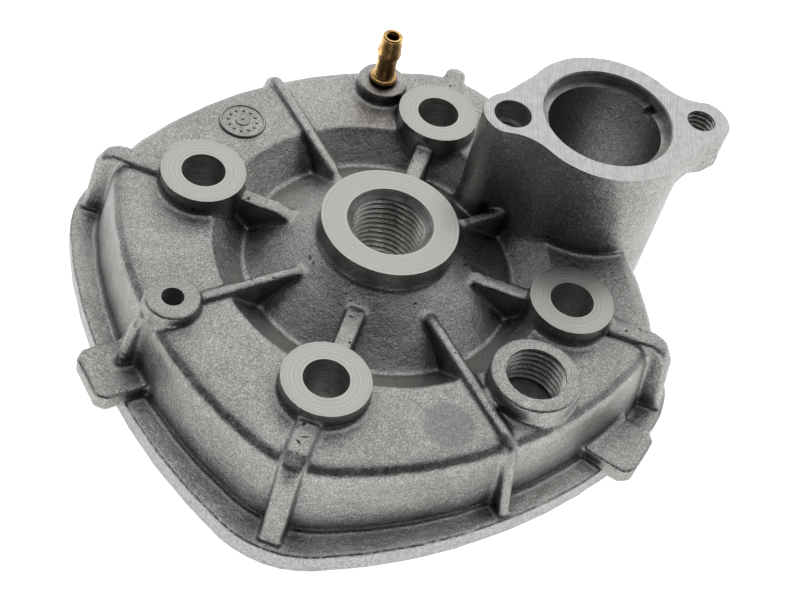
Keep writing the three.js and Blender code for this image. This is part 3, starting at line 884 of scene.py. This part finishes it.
def thread_material():
    """Bright crests, and painted shade darkening the roots."""
    s = Shader("cut_thread", (0.8, 0.79, 0.77), 0.5, 0.25)
    tint = s.noise(1.2, 3, 0.6)
    groove = s.add("ShaderNodeAttribute", attribute_name="groove").outputs["Fac"]
    base = s.mix(s.remap(tint, 0.35, 0.7), (0.8, 0.785, 0.76), (0.95, 0.94, 0.92))
    # painted shade: the base colour darkens towards the thread's roots, by the groove's depth
    base = s.mix(s.remap(groove, 0.25, 0.9, 0, 0.88), base, (0.08, 0.065, 0.055))
    s.link(base, "Base Color")
    s.link(s.remap(tint, 0.3, 0.7, 0.24, 0.42), "Roughness")
    s.link(s.bump(s.noise(0.25, 2), 0.012), "Normal")
    return s.material


def brass_material():
    """Turned brass with patches of tarnish, and painted shade darkening its corners."""
    s = Shader("dull_brass", (0.55, 0.39, 0.2), 1, 0.3)
    tarnish = s.noise(2.2, 4, 0.65, distortion=0.4)
    marks = s.noise(0.25, 3, 0.7, vector=s.squashed(0.05))
    base = s.mix(s.remap(tarnish, 0.38, 0.68), (0.4, 0.24, 0.1), (0.82, 0.57, 0.26))
    # painted shade: the base colour darkens in corners, where the ambient occlusion is low
    base = s.mix(s.remap(s.shelter(2.5), 0.3, 0.85, 0.6, 0), base, (0.1, 0.06, 0.03))
    s.link(base, "Base Color")
    s.link(s.remap(tarnish, 0.3, 0.7, 0.42, 0.24), "Roughness")
    s.link(s.bump(marks, 0.02), "Normal")
    return s.material


def rubber_material():
    """Black rubber with a little dust."""
    s = Shader("seal_rubber", (0.02, 0.02, 0.021), 0, 0.6)
    dust = s.noise(1.6, 4, 0.7)
    base = s.mix(s.remap(dust, 0.45, 0.75), (0.016, 0.016, 0.017), (0.05, 0.05, 0.052))
    s.link(base, "Base Color")
    s.link(s.remap(dust, 0.3, 0.7, 0.5, 0.72), "Roughness")
    s.link(s.bump(s.noise(0.3, 2), 0.02), "Normal")
    return s.material


def floor_material():
    """A pale floor that glows a little, so that it stays even where the room light falls off."""
    s = Shader("studio_floor", (0.86, 0.86, 0.86), 0, 0.9)
    s.surface.inputs["Specular IOR Level"].default_value = 0.1
    s.surface.inputs["Emission Color"].default_value = (1, 1, 1, 1)
    s.surface.inputs["Emission Strength"].default_value = 0.75
    return s.material


# ------------------------------------------------------------------ studio


def studio():
    """The floor, just clear of the part's joint face, the room's light and the view's contrast."""
    mesh = bpy.data.meshes.new("floor")
    half, gap = 3, 0.0002
    corners = [(-half, -half, 0), (half, -half, 0), (half, half, 0), (-half, half, 0)]
    mesh.from_pydata(corners, [], [[0, 1, 2, 3]])
    floor = add_object("floor", mesh)
    floor.location.z = -gap
    mesh.materials.append(floor_material())

    room_light()
    bpy.context.scene.view_settings.view_transform = "Standard"
    bpy.context.scene.view_settings.look = "Medium High Contrast"


def room_light():
    """Soft light from behind, above and the right; the front left of the room is dark."""
    brightest_way, full_from, strength = (0.506, 0.575, 0.643), 0.85, 1.03
    world = bpy.data.worlds.new("studio")
    bpy.context.scene.world = world
    world.use_nodes = True
    tree = world.node_tree
    direction = tree.nodes.new("ShaderNodeTexCoord").outputs["Generated"]
    towards = tree.nodes.new("ShaderNodeVectorMath")
    towards.operation = "DOT_PRODUCT"
    towards.inputs[1].default_value = brightest_way
    fade = tree.nodes.new("ShaderNodeMapRange")
    fade.interpolation_type = "SMOOTHSTEP"
    limits = {"From Min": 0.0, "From Max": full_from, "To Min": 0.0, "To Max": strength}
    for socket, value in limits.items():
        fade.inputs[socket].default_value = value
    background = tree.nodes["Background"]
    background.inputs["Color"].default_value = (1, 1, 1, 1)
    tree.links.new(direction, towards.inputs[0])
    tree.links.new(towards.outputs["Value"], fade.inputs["Value"])
    tree.links.new(fade.outputs["Result"], background.inputs["Strength"])


def camera():
    """Looks down from the front left, rolled a little, from about a quarter of a metre."""
    place = Vector((PLUG_X - 120.94, -146.17, STUD_SEAT_Z + 202.14)) * MM
    azimuth, elevation, roll = math.radians(-41.24), math.radians(48.94), math.radians(16.64)
    level = math.cos(elevation)
    back = Vector((math.sin(azimuth) * level, -math.cos(azimuth) * level, math.sin(elevation)))
    right = Vector((math.cos(azimuth), math.sin(azimuth), 0))
    up = back.cross(right)
    rolled_right = right * math.cos(roll) + up * math.sin(roll)
    rolled_up = up * math.cos(roll) - right * math.sin(roll)
    data = bpy.data.cameras.new("camera")
    data.sensor_width = 36
    data.lens = 71.88
    data.clip_start = 0.01
    obj = bpy.data.objects.new("camera", data)
    axes = Matrix((rolled_right, rolled_up, back)).transposed()
    obj.matrix_world = Matrix.Translation(place) @ axes.to_4x4()
    bpy.context.scene.collection.objects.link(obj)
    bpy.context.scene.camera = obj


# ------------------------------------------------------------------ the object


def place(obj, slot, material=None, node=None):
    """Rides the piece on the one body, gives it the material if one is given, and hides the CAD node it
    stands for. The slot is not used.
    """
    if material:
        obj.data.materials.append(material)
    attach(obj, "root")
    if node:
        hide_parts(node)


def build():
    cast = cast_material()
    thread_metal = thread_material()
    casting = as_cast_object()
    machine(casting)
    finish_casting(casting, [
        cast, turned_material(), milled_material(), drilled_material(), trimmed_material(),
    ])
    place(casting, "aluminium", node="head_casting")
    for name, size, centre, low, high, steps in (
        ("plug_thread", PLUG_THREAD, (0, 0), CHAMBER_TOP_Z + 0.1, 24, 72),
        ("sensor_thread", SENSOR_THREAD, SENSOR, SENSOR_FLOOR_Z + 0.8, SENSOR_LIP_Z, 64),
        ("left_cover_thread", COVER_THREAD, LEFT_EAR, LEFT_THREAD_Z, LEFT_THREAD_TOP_Z, 56),
        ("right_cover_thread", COVER_THREAD, RIGHT_EAR, RIGHT_THREAD_Z, RIGHT_THREAD_TOP_Z, 56),
    ):
        place(thread(name, size, centre, low, high, steps), "aluminium", thread_metal)
    place(date_dial(), "aluminium", cast)
    place(nipple(), "brass", brass_material(), "bleed_nipple")
    rubber = rubber_material()
    for name, outline, node in (
        ("chamber_seal_visual", lambda grow: circle(CHAMBER_SEAL_R + grow, 96), "chamber_seal_ring"),
        ("jacket_seal_visual", jacket_line, "jacket_seal_ring"),
    ):
        place(seal_ring(name, outline), "rubber", rubber, node)


build()
studio()
camera()
